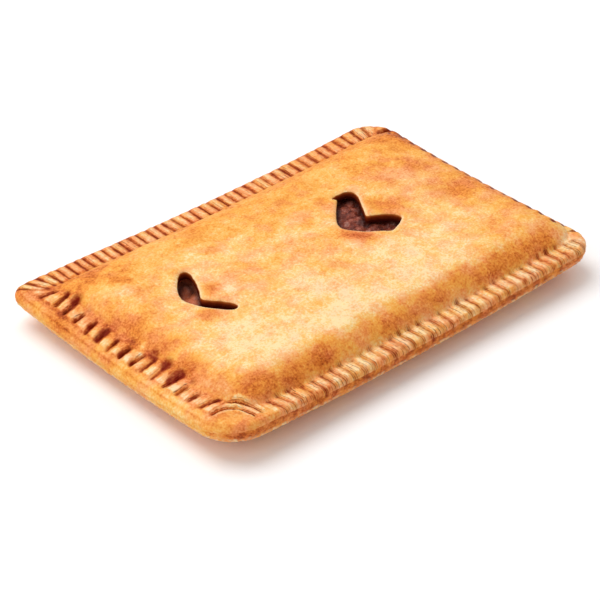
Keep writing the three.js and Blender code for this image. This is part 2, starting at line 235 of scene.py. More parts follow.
def smooth(low, high, x):
    # 0 below low, 1 above high, and the curve 3t^2 - 2t^3 between
    t = np.clip((x - low) / (high - low), 0, 1)
    return t * t * (3 - 2 * t)


def bell(x, y, atX, atY, spread):
    # a round hump: exp(-r^2 / 2 spread^2), with r the way from its middle
    return np.exp(-((x - atX) ** 2 + (y - atY) ** 2) / (2 * spread**2))


def waves(x, y, size, seed, count=16):
    # soft noise, mostly -1 to 1: sine waves of about that length in random directions, added up
    draw = np.random.default_rng(seed)
    total = np.zeros(np.shape(x))
    for turn, stretch, phase in draw.uniform((0, 0.7, 0), (2 * np.pi, 1.5, 2 * np.pi), (count, 3)):
        along = x * np.cos(turn) + y * np.sin(turn)
        total += np.sin(2 * np.pi * along / (size * stretch) + phase)
    return total / np.sqrt(count)


def addedWaves(x, y, rows):
    # waves of several sizes added up: each row has their length, height and seed
    return sum(height * waves(x, y, size, seed) for size, height, seed in rows)


def fromSides(x, y):
    # how far in each point lies from each side of the plain rectangle
    return {"right": halfLength - x, "far": halfWidth - y, "left": halfLength + x, "near": halfWidth + y}


def sideWeights(x, y):
    # how much each side counts at a point: exp(-inset / blend), made to add up to 1
    insets = fromSides(x, y)
    weights = {name: np.exp(-np.maximum(insets[name], 0) / dough["sideBlend"]) for name in sides}
    total = sum(weights.values())
    return {name: weights[name] / total for name in sides}


def sideMix(weights, key, table=sides):
    return sum(weights[name] * table[name][key] for name in sides)


def patchesAt(x, y, rows):
    # round patches added up: each row has its x, y, spread and strength
    return sum(amount * bell(x, y, atX, atY, spread) for atX, atY, spread, amount in rows)


def cornerOf(x, y):
    # which corner's quarter each point lies in
    return np.where(y >= 0, np.where(x >= 0, 0, 1), np.where(x >= 0, 3, 2))


def ringRadius(inset, corner):
    # the corner radius of the ring at an inset: from the outline's own to the plateau's
    own = np.array(dough["cornerRadius"])[corner]
    share = smooth(0, dough["plateauInset"], inset)
    return np.minimum(own + (dough["plateauCornerRadius"] - own) * share, 0.9 * (halfWidth - inset))


def insetOf(x, y):
    # how far in the ring is that goes through each point, found by halving
    corner = cornerOf(x, y)
    fromX = halfLength - np.abs(x)
    fromY = halfWidth - np.abs(y)
    low = np.full(np.shape(x), -3.0)  # no point lies further outside than that
    high = np.minimum(fromX, fromY) + 0.0
    for _ in range(26):
        middle = (low + high) / 2
        radius = ringRadius(np.maximum(middle, 0), corner)
        inX = fromX - middle
        inY = fromY - middle
        onArc = (inX < radius) & (inY < radius)
        away = np.where(onArc, radius - np.hypot(radius - inX, radius - inY), np.minimum(inX, inY))
        low = np.where(away > 0, middle, low)
        high = np.where(away > 0, high, middle)
    return (low + high) / 2


def ringPlan(around, inset):
    # the point in plan at a place round the ring at an inset: an arc on each corner, straight between
    corner = np.clip(np.searchsorted(ringStart, around, side="right") - 1, 0, 3)
    after = (corner + 1) % 4
    local = around - ringStart[corner]
    signX = np.array(dough["cornerX"])
    signY = np.array(dough["cornerY"])

    def onArc(which, quarters):
        radius = ringRadius(inset, which)
        atX = signX[which] * (halfLength - inset - radius)
        atY = signY[which] * (halfWidth - inset - radius)
        return atX + radius * np.cos(quarters * np.pi / 2), atY + radius * np.sin(quarters * np.pi / 2)

    fromX, fromY = onArc(corner, corner + np.minimum(local, ringCorner) / ringCorner)
    toX, toY = onArc(after, corner + 1.0)
    share = np.clip((local - ringCorner) / np.array(ringSide)[corner], 0, 1)
    return fromX + (toX - fromX) * share, fromY + (toY - fromY) * share


def aroundOf(x, y, inset):
    # the place round its own ring of each point: the reverse of ringPlan
    corner = cornerOf(x, y)
    radius = [ringRadius(inset, which) for which in range(4)]
    middleX = [dough["cornerX"][k] * (halfLength - inset - radius[k]) for k in range(4)]
    middleY = [dough["cornerY"][k] * (halfWidth - inset - radius[k]) for k in range(4)]
    ownX = np.choose(corner, middleX)
    ownY = np.choose(corner, middleY)
    onArc = (np.abs(x) > np.abs(ownX)) & (np.abs(y) > np.abs(ownY))
    quarters = np.arctan2(y - ownY, x - ownX) / (np.pi / 2) - corner
    quarters = np.mod(quarters + 2, 4) - 2
    arc = ringStart[corner] + ringCorner * np.clip(quarters, 0, 1)
    shares = (
        (middleX[0] - x) / (middleX[0] - middleX[1]),  # far side
        (middleY[1] - y) / (middleY[1] - middleY[2]),  # left side
        (x - middleX[2]) / (middleX[3] - middleX[2]),  # near side
        (y - middleY[3]) / (middleY[0] - middleY[3]),  # right side
    )
    places = [ringStart[k] + ringCorner + ringSide[k] * np.clip(shares[k], 0, 1) for k in range(4)]
    alongX = halfWidth - np.abs(y) < halfLength - np.abs(x)
    side = np.where(alongX, np.where(y >= 0, 0, 2), np.where(x >= 0, 3, 1))
    return np.where(onArc, arc, np.choose(side, places))


def cornerPush(x, y):
    # the corners share out their push by where the point lies between them
    pushX = pushY = 0.0
    for k in range(4):
        alongX = (1 + dough["cornerX"][k] * x / halfLength) / 2
        alongY = (1 + dough["cornerY"][k] * y / halfWidth) / 2
        pushX = pushX + alongX * alongY * dough["cornerPushX"][k]
        pushY = pushY + alongX * alongY * dough["cornerPushY"][k]
    return pushX, pushY


outlineX, outlineY = ringPlan(np.linspace(0, ringStart[-1], 1201)[:-1], 0.0)
outlinePushX, outlinePushY = cornerPush(outlineX, outlineY)
middleX = ((outlineX + outlinePushX).max() + (outlineX + outlinePushX).min()) / 2
middleY = ((outlineY + outlinePushY).max() + (outlineY + outlinePushY).min()) / 2


def planPlace(x, y):
    # from the plain rectangle to the real plan, in which vents and patches are given
    pushX, pushY = cornerPush(x, y)
    return x + pushX, y + pushY


def pushed(x, y):
    # from the plain rectangle to the model, which has its origin under the middle of its box
    planX, planY = planPlace(x, y)
    return planX - middleX, planY - middleY


def unpushed(x, y):
    # the reverse of pushed, by going back and forth
    plainX, plainY = x + middleX, y + middleY
    for _ in range(4):
        pushX, pushY = cornerPush(plainX, plainY)
        plainX, plainY = x + middleX - pushX, y + middleY - pushY
    return plainX, plainY


def rimBottom(x, y):
    curl = (x / halfLength) ** 2 * (y / halfWidth) ** 2
    return dough["rimLift"] + dough["cornerCurl"] * curl


def plainTop(x, y, inset):
    # the rim, the band that may rise, then a slope that starts with a crease and levels off:
    # (1 - (1 - t)^power)^crease, up to the plateau, its dome and its swellings
    weights = sideWeights(x, y)
    start = sideMix(weights, "from")
    end = sideMix(weights, "to")
    band = sideMix(weights, "band")
    rim = rimBottom(x, y) + dough["rimThickness"]
    for atX, atY, thickness in zip(dough["cornerX"], dough["cornerY"], dough["cornerRim"]):
        nearby = bell(x, y, atX * halfLength, atY * halfWidth, dough["cornerReach"])
        rim += (thickness - dough["rimThickness"]) * nearby
    fullBand = band * np.maximum(start - dough["bandStart"], 0)
    ownBand = band * np.maximum(np.minimum(inset, start) - dough["bandStart"], 0)
    t = np.clip((inset - start) / (end - start), 0, 1)
    climbed = (1 - (1 - t) ** dough["slopePower"]) ** sideMix(weights, "crease")
    dome = dough["domeRise"] * (1 - (x / halfLength) ** 2) * (1 - (y / halfWidth) ** 2)
    swell = patchesAt(x, y, dough["swellings"])
    return rim + ownBand + climbed * (dough["plateauRise"] + dome + swell - fullBand)


def undersideHeight(x, y, inset):
    sole = sideMix(sideWeights(x, y), "sole")
    return rimBottom(x, y) * np.clip((sole - inset) / sole, 0, 1) ** 2


def sideCrimps(name, number):
    # the grooves of one side, with a ridge and a groove of no depth more at each end
    crimp = crimps[name]
    draw = np.random.default_rng(crimping["seed"] + number)
    if "single" in crimp:
        middles, start, end, lean, core = np.array(crimp["single"]).T
        core *= crimp["core"]
        count = len(middles)
    else:
        count = crimp["count"]
        t = np.linspace(0, 1, count)
        growth = crimp["growth"]
        share = (2 * t + (growth - 1) * t**2) / (growth + 1)
        middles = crimp["first"] + (crimp["last"] - crimp["first"]) * share
        middles += draw.uniform(-1, 1, count) * crimping["wander"] * np.gradient(middles)
        start = crimp["from"] + draw.uniform(-0.5, 0.5, count)
        end = crimp["to"] + draw.uniform(-1, 1, count) * crimp["wander"]
        lean = crimp["lean"] + draw.uniform(-1, 1, count) * crimping["leanWander"]
        core = crimp["core"] * draw.uniform(0.5, 1.2, count)
    grooves = {
        "depth": 1 + draw.uniform(-1, 1, count) * crimping["unevenness"],
        "from": start,
        "to": end,
        "lean": lean,
        "core": core,
        "line": crimp["line"] * draw.uniform(0.7, 1.3, count),
        "double": crimp["double"] * draw.uniform(0.3, 1.2, count),
    }
    grooves = {key: np.pad(values, 1, mode="edge") for key, values in grooves.items()}
    for key in ("depth", "core", "double"):
        grooves[key][[0, -1]] = 0
    ends = (2 * middles[0] - middles[1], 2 * middles[-1] - middles[-2])
    return np.concatenate([ends[:1], middles, ends[1:]]), grooves


def crimpShape(x, y):
    # For each point: how deep it lies in a groove (mm), how far across its crimp it is, from 0 in
    # the groove to 1 on top of the ridge, and what the finish reads. With u across it the depth is
    # 1 - (2u - u^2)^sharp, a cusp between round ridges. The corner's folds are grooves at even
    # distances from a point.
    insets = fromSides(x, y)
    corner = cornerOf(x, y)
    zero = np.zeros(np.shape(x))
    shape = {key: zero for key in ("drop", "phase", "strength", "core", "line", "double", "pair", "tip")}
    shape["across"] = zero + 1
    planX, planY = planPlace(x, y)
    fold = cornerFolds
    radius = np.hypot(planX - fold["x"], planY - fold["y"]) + addedWaves(x, y, fold["waves"])
    inCorner = smooth(-1.5, 0.5, np.minimum(planX - fold["x"], planY - fold["y"]))
    folded = 1 - smooth(fold["hold"] - 0.6, fold["hold"] + 0.6, radius)
    folded *= 1 - smooth(fold["top"] - 1, fold["top"] + 1, planY)

    def add(phase, window, found, crimp, relief):
        u = 2 * np.abs(phase - np.round(phase))
        hollow = 1 - (2 * u - u**2) ** crimp["sharp"]
        shape["drop"] = shape["drop"] + crimp["depth"] * window * hollow * relief
        shape["drop"] = shape["drop"] - crimp["depth"] * window * crimping["crown"] * relief
        stronger = window > shape["strength"]
        for key, values in (found | {"phase": phase, "across": u, "pair": crimp["pair"]}).items():
            shape[key] = np.where(stronger, values, shape[key])
        shape["strength"] = np.maximum(shape["strength"], window)

    for number, (name, crimp) in enumerate(crimps.items()):
        middles, grooves = sideCrimps(name, number)
        long = name in ("near", "far")
        along = x if long else y
        across = insets[name]
        other = np.minimum(*[insets[end] for end in (("left", "right") if long else ("near", "far"))])
        reach = crimping["fanReach"]
        lean = np.interp(along, middles, grooves["lean"])
        lean += crimp["fan"][0] * (1 - smooth(middles[1], middles[1] + reach, along))
        lean += crimp["fan"][1] * smooth(middles[-2] - reach, middles[-2], along)
        phase = np.interp(along - lean * (across - 5), middles, np.arange(len(middles)))
        at = {key: np.interp(phase, np.arange(len(middles)), values) for key, values in grooves.items()}
        window = smooth(at["from"] - 0.8, at["from"] + 0.8, across)
        window *= 1 - smooth(at["to"] - 0.9, at["to"] + 0.6, across)
        bias = np.array(crimping["mitreBias"][name])[corner]
        window *= smooth(0, crimping["mitre"], other - across + bias) * (1 - folded)
        at["tip"] = np.exp(-(((across - at["to"] + crimp["tip"]) / crimp["tip"]) ** 2))
        found = {key: at[key] for key in ("core", "line", "double", "tip")}
        add(phase, window, found, crimp, at["depth"] * smooth(-0.6, crimping["edgeFade"], across))

    window = inCorner * folded * smooth(fold["inner"] - 0.8, fold["inner"] + 0.8, radius)
    phase = (fold["radius"] - radius) / fold["pitch"] + 1
    window *= np.where(phase < 1.5, smooth(fold["outerFrom"], fold["outerFrom"] + 3, planX), 1)
    found = {key: zero + fold[key] for key in ("core", "line", "double")} | {"tip": zero}
    add(phase, window, found, fold, 1.0)
    return shape


def closedCurve(points, spacing):
    # a smooth closed curve through the points (Catmull-Rom), then places evenly spaced along it
    t = np.linspace(0, 1, 25)[:-1][None, :, None]
    p0, p1, p2, p3 = (np.roll(points, back, axis=0)[:, None, :] for back in (1, 0, -1, -2))
    bend = (2 * p0 - 5 * p1 + 4 * p2 - p3) * t**2 + (3 * p1 - p0 - 3 * p2 + p3) * t**3
    path = (0.5 * (2 * p1 + (p2 - p0) * t + bend)).reshape(-1, 2)
    closed = np.vstack([path, path[:1]])
    length = np.concatenate([[0], np.cumsum(np.hypot(*np.diff(closed, axis=0).T))])
    at = np.linspace(0, length[-1], int(length[-1] / spacing) + 1)[:-1]
    return np.stack([np.interp(at, length, closed[:, 0]), np.interp(at, length, closed[:, 1])], axis=1)


ventOutlines = [closedCurve(points, ventEdge["spacing"]) for points in vents]


def distanceToVent(x, y, outline):
    # the shortest way to the outline's edges, below 0 inside it
    far = np.full(np.shape(x), 99.0)
    atX, atY = outline.mean(axis=0)
    close = (np.abs(x - atX) < ventEdge["reachX"]) & (np.abs(y - atY) < ventEdge["reachY"])
    px, py = x[close][:, None], y[close][:, None]
    ax, ay = outline[:, 0], outline[:, 1]
    bx, by = np.roll(ax, -1), np.roll(ay, -1)
    dx, dy = bx - ax, by - ay
    share = np.clip(((px - ax) * dx + (py - ay) * dy) / (dx**2 + dy**2), 0, 1)
    away = np.hypot(px - ax - share * dx, py - ay - share * dy).min(axis=1)
    crosses = ((ay > py) != (by > py)) & (px < dx * (py - ay) / (dy + 1e-12) + ax)
    inside = crosses.sum(axis=1) % 2 == 1
    far[close] = np.where(inside, -away, away)
    return far


def ventDistance(x, y):
    planX, planY = planPlace(x, y)
    return np.minimum(*[distanceToVent(planX, planY, outline) for outline in ventOutlines])


def crustTop(x, y, inset):
    # the plain top with its edge rounded like a quarter circle, the crimps, a soft waviness and the
    # vents' lips
    height = plainTop(x, y, inset)
    wallRound = dough["wallRound"]
    edge = np.clip(1 - inset / wallRound, 0, 1)
    height -= wallRound * (1 - np.sqrt(1 - edge**2))
    left = sideWeights(x, y)["left"]
    width, depth = dough["leftRound"]
    height -= depth * left * np.clip(1 - inset / width, 0, 1) ** 2
    height -= dough["leftStep"] * left * (1 - smooth(0.6, 1.0, inset))
    height -= crimpShape(x, y)["drop"]
    onTop = smooth(6, 14, inset)
    height += onTop * addedWaves(x, y, dough["topWaves"])
    height += (1 - onTop) * addedWaves(x, y, dough["rimWaves"])
    away = ventDistance(x, y)
    lip = ventEdge["lipRise"] * np.exp(-(((away - ventEdge["lipAway"]) / ventEdge["lipWidth"]) ** 2))
    return height + lip - ventEdge["lipDrop"] * np.clip(1 - away / ventEdge["lipRound"], 0, 1) ** 2


def makeMesh(name, vertices, faces):
    mesh = bpy.data.meshes.new(name)
    mesh.from_pydata((np.asarray(vertices) * mm).tolist(), [], faces)
    mesh.update()
    piece = bpy.data.objects.new(name, mesh)
    bpy.context.scene.collection.objects.link(piece)
    return piece


def gridLines(half, spacing, edges=(0.0,)):
    # lines across a side, evenly spaced, and closer together at both ends
    inner = half - edges[-1] - spacing
    count = max(2, int(round(2 * inner / spacing)) + 1)
    low = np.array(edges) - half
    return np.concatenate([low, np.linspace(-inner, inner, count), -low[::-1]])


def roundedGrid(xLines, yLines, inset):
    # a grid of the rectangle, whose four corner squares are turned into quarter discs
    x, y = np.meshgrid(xLines, yLines, indexing="ij")
    for k in range(4):
        radius = float(ringRadius(np.array(inset), k))
        signX, signY = dough["cornerX"][k], dough["cornerY"][k]
        atX = halfLength - inset - radius
        atY = halfWidth - inset - radius
        outX = (signX * x - atX) / radius
        outY = (signY * y - atY) / radius
        inside = (outX > 1e-9) & (outY > 1e-9)
        big = np.maximum(outX, outY)
        small = np.minimum(outX, outY)
        turn = np.pi / 4 * small / np.where(inside, big, 1)
        turn = np.where(outX >= outY, turn, np.pi / 2 - turn)
        x = np.where(inside, signX * (atX + radius * big * np.cos(turn)), x)
        y = np.where(inside, signY * (atY + radius * big * np.sin(turn)), y)
    return x, y


def closedShell(name, xLines, yLines, inset, topOf, rows):
    # a top grid, then rows of points under its edge, each with its own inset and height, and a fan
    # of faces from the last row to the middle of the underside
    x, y = roundedGrid(xLines, yLines, inset)
    nx, ny = x.shape
    number = np.arange(nx * ny).reshape(nx, ny)
    rim = np.concatenate([number[:-1, 0], number[-1, :-1], number[:0:-1, -1], number[0, :0:-1]])
    quads = np.stack([number[:-1, :-1], number[1:, :-1], number[1:, 1:], number[:-1, 1:]], axis=-1)
    x, y = x.ravel(), y.ravel()
    depth = insetOf(x, y)
    depth[rim] = inset
    height = topOf(x, y, depth)
    points = [np.stack([*pushed(x, y), height], axis=1)]
    blocks = [quads.reshape(-1, 4)]
    around = aroundOf(x[rim], y[rim], depth[rim])
    above = rim
    for row in rows:
        rowInset, rowHeight = row(around, height[rim])
        rowX, rowY = ringPlan(around, rowInset)
        start = sum(len(block) for block in points)
        points.append(np.stack([*pushed(rowX, rowY), rowHeight], axis=1))
        below = start + np.arange(len(rim))
        blocks.append(np.stack([above, below, np.roll(below, -1), np.roll(above, -1)], axis=1))
        above = below
    start = sum(len(block) for block in points)
    points.append(points[-1].mean(axis=0)[None])
    faces = np.vstack(blocks).tolist()
    faces += [(start, b, a) for a, b in zip(above.tolist(), np.roll(above, -1).tolist())]
    return makeMesh(name, np.vstack(points), faces)


def cutAway(piece, cutters):
    # cuts the cutters out of the piece, and removes them
    for cutter in cutters:
        cut = piece.modifiers.new("cut", "BOOLEAN")
        cut.operation = "DIFFERENCE"
        cut.solver = "MANIFOLD"
        cut.object = cutter
    mesh = bpy.data.meshes.new_from_object(piece.evaluated_get(bpy.context.evaluated_depsgraph_get()))
    piece.modifiers.clear()
    piece.data = mesh
    for cutter in cutters:
        bpy.data.objects.remove(cutter)


# The outside of the rim and its underside. The seam between the two sheets lies at a share of the
# height, on the near side and elsewhere.
rimWall = {
    "inset": 0.25, "bulge": 0.25, "notch": 0.08, "seamDepth": 0.16, "seamWidth": 0.07, "seamNear": 0.78,
    "seamElsewhere": 0.5,
    "foot": 0.7,  # how far over the underside it ends
    "coarse": ((4, 0.1, 5),),  # length, height and seed of its roughness
    "fine": ((1.6, 0.08, 6),),
    "under": ((1.8, 1.0, 8),),  # and of the underside's, with how far that goes out and up
    "underOut": 0.18,
    "underUp": 0.14,
}


def wallRow(share):
    # A row down the outside of the rim: it bulges a little, has a seam between the two sheets,
    # and the grooves of the crimps run out on its upper part.
    def row(around, edgeHeight):
        x, y = ringPlan(around, 0.0)
        weights = sideWeights(x, y)
        groove = crimpShape(x, y)
        notch = groove["strength"] * np.clip(1 - groove["across"] / 0.6, 0, 1) * (1 - share) ** 1.5
        seamAt = rimWall["seamNear"] * weights["near"] + rimWall["seamElsewhere"] * (1 - weights["near"])
        seam = rimWall["seamDepth"] * np.exp(-(((share - seamAt) / rimWall["seamWidth"]) ** 2))
        bulge = rimWall["bulge"] * np.sin(np.pi * share)
        turned = addedWaves(x + 40 * share, y - 40 * share, rimWall["fine"])  # another row, other waves
        rough = (addedWaves(x, y, rimWall["coarse"]) + turned) * min(1, 4 * share)
        rowInset = rimWall["inset"] + rimWall["notch"] * notch + seam - bulge + rough
        low = rimBottom(x, y) + rimWall["foot"]
        return np.maximum(rowInset, 0), edgeHeight + (low - edgeHeight) * share

    return row


def underRow(inset, lift=0.0):
    # a row of the underside, which curves from the rim down to the flat sole
    def row(around, edgeHeight):
        x, y = ringPlan(around, inset)
        rough = np.exp(-inset) * addedWaves(x, y, rimWall["under"])
        height = undersideHeight(x, y, inset) + lift + rimWall["underUp"] * rough
        return inset + rimWall["underOut"] * rough, height

    return row


print("shaping the crust")
edgeLines = (0.0, 0.1, 0.3, 0.6, 1.0, 1.5)
crustRows = [wallRow(share) for share in (0.12, 0.24, 0.36, 0.48, 0.58, 0.68, 0.78, 0.9, 1.0)]
crustRows.append(underRow(0.45, 0.25))
crustRows += [underRow(inset) for inset in (0.9, 1.8, 3.2, 5.2, 8.0, 12.0, 16.0, 22.0)]
crust = closedShell(
    "crust_dough",
    gridLines(halfLength, dough["spacing"][0], edgeLines),
    gridLines(halfWidth, dough["spacing"][1], edgeLines),
    0.0,
    crustTop,
    crustRows,
)

# The room inside, and the filling that lies in it: how far in its wall is, how far the top's edge is
# from that, the filling's gap to the crust, and the spacing of the room's mesh. Each row of the wall
# lies further in than the first number says, at a share of the height.
room = {
    "inset": 10.5,
    "shoulder": 1.2,
    "gap": 0.3,
    "spacing": 3.0,
    "rows": ((0.3, 0.75), (0.0, 0.5), (0.4, 0.25), (3.0, 0.0), (6.0, 0.0)),
}


def makeRoom(name, inwards, relief, xLines, yLines):
    # the room, or with inwards the filling in it: its top lies under the crust's, lowered by a relief
    floor = dough["doughThickness"] + inwards
    edge = room["inset"] + inwards

    def top(x, y, inset):
        return plainTop(x, y, inset) - dough["doughThickness"] - inwards + relief(x, y)

    def wall(further, share):
        return lambda around, edgeHeight: (edge + further, floor + (edgeHeight - floor) * share)

    rows = [wall(*row) for row in room["rows"]]
    return closedShell(name, xLines, yLines, edge + room["shoulder"], top, rows)


def ventCutter(outline, number):
    # the vent's outline carried from inside the room up through the top, with an uneven wall
    levels = np.linspace(ventEdge["from"], ventEdge["to"], ventEdge["levels"])
    ahead = np.roll(outline, -1, axis=0) - np.roll(outline, 1, axis=0)
    turn = outline[:, 0] * np.roll(outline[:, 1], -1) - np.roll(outline[:, 0], -1) * outline[:, 1]
    if turn.sum() < 0:
        outline, ahead = outline[::-1], -ahead[::-1]
    outward = np.stack([ahead[:, 1], -ahead[:, 0]], axis=1) / np.hypot(*ahead.T)[:, None]
    along = np.arange(len(outline)) * ventEdge["spacing"]
    around, level = np.meshgrid(along, levels)
    rough = ventEdge["roughness"] * waves(around, level * 2.2, ventEdge["grain"], 31 + number)
    x = outline[:, 0] + outward[:, 0] * rough - middleX
    y = outline[:, 1] + outward[:, 1] * rough - middleY
    points = np.stack([x, y, level], axis=-1).reshape(-1, 3)
    index = np.arange(len(points)).reshape(level.shape)
    after = np.roll(index, -1, axis=1)
    walls = np.stack([index[:-1], after[:-1], after[1:], index[1:]], axis=-1).reshape(-1, 4).tolist()
    return makeMesh(f"vent_{number}", points, walls + [index[0, ::-1].tolist(), index[-1].tolist()])


roomEdge = room["inset"] + room["shoulder"]
roomCutter = makeRoom(
    "room",
    0.0,
    lambda x, y: np.zeros(np.shape(x)),
    gridLines(halfLength - roomEdge, room["spacing"]),
    gridLines(halfWidth - roomEdge, room["spacing"]),
)
cutAway(crust, [roomCutter] + [ventCutter(outline, k) for k, outline in enumerate(ventOutlines)])
print("crust faces", len(crust.data.polygons))


def readRows(items, key):
    # a vector of every point or face, one row for each
    flat = np.empty(len(items) * 3, np.float32)
    items.foreach_get(key, flat)
    return flat.reshape(-1, 3).astype(float)


def giveMark(piece, name, values, domain="POINT"):
    mark = piece.data.attributes.new(name, "FLOAT", domain)
    mark.data.foreach_set("value", np.asarray(values, np.float32))


def roundFaces(piece):
    piece.data.polygons.foreach_set("use_smooth", np.ones(len(piece.data.polygons), bool))


def markCrust(piece):
    # what the oven and the hands left on the crust, as a number on every point
    x, y, z = readRows(piece.data.vertices, "co").T / mm
    x, y = unpushed(x, y)
    inset = np.maximum(insetOf(x, y), 0.0)
    below = crustTop(x, y, inset) - z
    side = sideWeights(x, y)
    near, far, left = (side[name] for name in ("near", "far", "left"))
    groove = crimpShape(x, y)
    strength, across, tip = (groove[name] for name in ("strength", "across", "tip"))
    planX, planY = planPlace(x, y)
    soft = addedWaves(x, y, browning["softWaves"])
    # the ridges' tops, made paler: partly the dough's own colour, partly painted highlight
    ridge = smooth(0.5, 1.0, strength) * smooth(0.2, 0.7, across)
    ridge *= smooth(0.5, 1.8, inset) * (1 - 0.8 * tip)
    baked = {key: sideMix(side, key, bakedSides) for key in bakedSides["near"]}
    foot, end = baked["foot"], baked["end"]
    slope = smooth(foot - 1, foot + 1.5, inset) * (1 - smooth(end - 5, end + 2, inset + 0.5 * soft))
    band = 1 - smooth(foot - 1.5, foot + 1, inset)
    wall = (inset < 3) * smooth(0.2, 1.2, below)
    leftEdge = left * (1 - smooth(2.2, 3.6, inset))  # where the left side rounds over to its wall

    patches = patchesAt(planX, planY, bakedPatches)
    bake = browning["palest"] + patches
    for key, place in (("towardsFar", planY + 4 * soft), ("towardsRight", planX + 3 * soft)):
        for low, high, amount in browning[key]:
            bake += amount * smooth(low, high, place)
    bake += slope * baked["slope"] + band * baked["band"] - ridge * baked["ridge"] - 0.14 * leftEdge
    # browner down each groove: partly the pinches' browning, partly painted shade in the creases, most on
    # the left
    bake += (0.16 - 0.06 * near) * strength * (1 - smooth(0.05, 0.4, across))
    bake += 0.16 * left * strength * (1 - smooth(0.12, 0.42, across))
    bake += addedWaves(x, y, browning["waves"])
    spots = patchesAt(planX, planY, burntSpots)
    bake += browning["burntSpots"] * smooth(0.1, 1.0, spots) * (1 - bake)
    bake += wall * (baked["wall"] + addedWaves(x, y + z, browning["wallWaves"]) + 0.7 * patches - bake)
    bake += 0.2 * left * np.exp(-(((inset - 1.0 + 0.1 * soft) / 0.25) ** 2))  # the seam of the two sheets
    sole = 1 - smooth(0.1, 0.4, z - rimBottom(x, y))  # 1 on the underside, which browned evenly
    bake += sole * (browning["sole"] + browning["soleEdge"] * np.exp(-inset / 4) + 0.06 * soft - bake)

    burnt = smooth(0.3, 1.0, spots) * (1 - 0.4 * across)
    dimple = strength * (1 - smooth(0.1, 0.6 - 0.25 * left, across)) * groove["core"]
    burnt += 0.8 * near * dimple * np.exp(-(((below - 0.7) / 0.6) ** 2))
    burnt += 0.8 * dimple * tip
    rosy = 0.6 * far * band + 0.35 * (left * band - leftEdge) + 0.35 * near * band
    rosy -= 0.5 * (1 - band) * smooth(16, 32, planY + 4 * soft)
    rosy = (rosy * (1 - wall) + patchesAt(planX, planY, rosyPatches)) * (1 - sole)
    # The lip's pale colour is mostly a painted highlight: strongest on the vents' edges towards -Y, faint
    # all round
    away = ventDistance(x, y)
    facing = np.clip((ventDistance(x, y - 0.2) - away) / 0.1, 0, 1)  # 1 on a vent's edges towards -Y
    marks = {name: groove[name] for name in ("phase", "core", "line", "double", "pair")}
    marks |= {
        "bake": bake,
        "rosy": rosy,
        "burnt": np.clip(burnt, 0, 1) * (1 - sole),
        "crimp": strength * (1 - smooth(0.2, 1.1, below)),
        "lip": (0.15 + 0.85 * facing) * np.exp(-((away / 0.6) ** 2)) * (below < 0.5),
        "below": np.clip(below / 4, 0, 1),
        "flour": (inset < 3) * (1 - smooth(0.4, 1.3, z - rimBottom(x, y))),
        "alongX": smooth(0.45, 0.55, near + far),
    }
    for name, values in marks.items():
        giveMark(piece, name, values)

    # the faces of the vents' walls, which are steep and lie well inside the rim
    x, y, z = readRows(piece.data.polygons, "center").T / mm
    steep = np.abs(readRows(piece.data.polygons, "normal")[:, 2]) < 0.6
    inside = (np.abs(x) < halfLength - 14) & (np.abs(y) < halfWidth - 14) & (z > 10)
    giveMark(piece, "ventWall", steep & inside, "FACE")


markCrust(crust)
roundFaces(crust)
crust.data.set_sharp_from_angle(angle=math.radians(dough["sharpAngle"]))

# The filling: lumps and shreds where it shows under the vents, and where it has sunk or stands up.
# Heights are measured from the crust's underside.
stew = {
    "lumps": 70,
    "lumpSize": 2.4,
    "lumpRise": 0.55,  # of its radius
    "lumpFoot": -1.5,
    "lumpReach": (13, 17),  # how far from a vent's middle they lie, along X and Y
    "seed": 7,
    "bed": -1.6,
    "shredSize": 2.2,
    "shredRise": 0.26,
    "grains": ((1.1, 0.1, 72),),
    "highest": -0.05,
    "tomato": 0.9,  # how red it is in the left vent
    # the margin is painted shade: darker along a vent's edge, where the crust shades the filling
    "marginShade": 0.85,  # how dark it is along a vent's edge
    "marginShadeWidth": 1.3,
    "hollows": (  # x, y, spread and rise
        (-40.5, 14.0, 3.0, -3.6), (-39.5, -8.5, 3.0, -3.2), (15.5, 3.0, 2.2, -1.6), (-44.5, 1.5, 4.0, 1.2),
    ),
    "fine": 0.42,  # spacing of the mesh's lines, and where they lie so close
    "fineX": ((-52, -34), (12, 40)),
    "fineY": ((-14, 21),),
    "coarse": 3.0,
}


def fillingRelief(x, y):
    # round lumps pressed together, fine shreds over them, and hollows where it has sunk
    draw = np.random.default_rng(stew["seed"])
    height = np.full(np.shape(x), stew["bed"])
    for outline in ventOutlines:
        middle = outline.mean(axis=0)
        for _ in range(stew["lumps"]):
            atX, atY = middle + draw.uniform(-1, 1, 2) * stew["lumpReach"]
            radius = stew["lumpSize"] * draw.uniform(0.6, 1.3)
            flat = np.clip(1 - ((x - atX) ** 2 + (y - atY) ** 2) / radius**2, 0, 1)
            rise = stew["lumpRise"] * radius * draw.uniform(0.7, 1.0)
            height = np.maximum(height, stew["lumpFoot"] + rise * np.sqrt(flat))
    height += stew["shredRise"] * (1 - np.abs(waves(x, y, stew["shredSize"], 71)))
    height += addedWaves(x, y, stew["grains"]) + patchesAt(x, y, stew["hollows"])
    return np.minimum(height, stew["highest"])


def patchLines(half, spans):
    # lines across a side, close together only over the given spans
    ends = [-half, *[end for span in spans for end in span], half]
    lines = []
    for k, (low, high) in enumerate(zip(ends[:-1], ends[1:])):
        step = stew["fine"] if k % 2 else stew["coarse"]
        lines.append(np.linspace(low, high, int(math.ceil((high - low) / step)) + 1)[:-1])
    return np.concatenate(lines + [[half]])


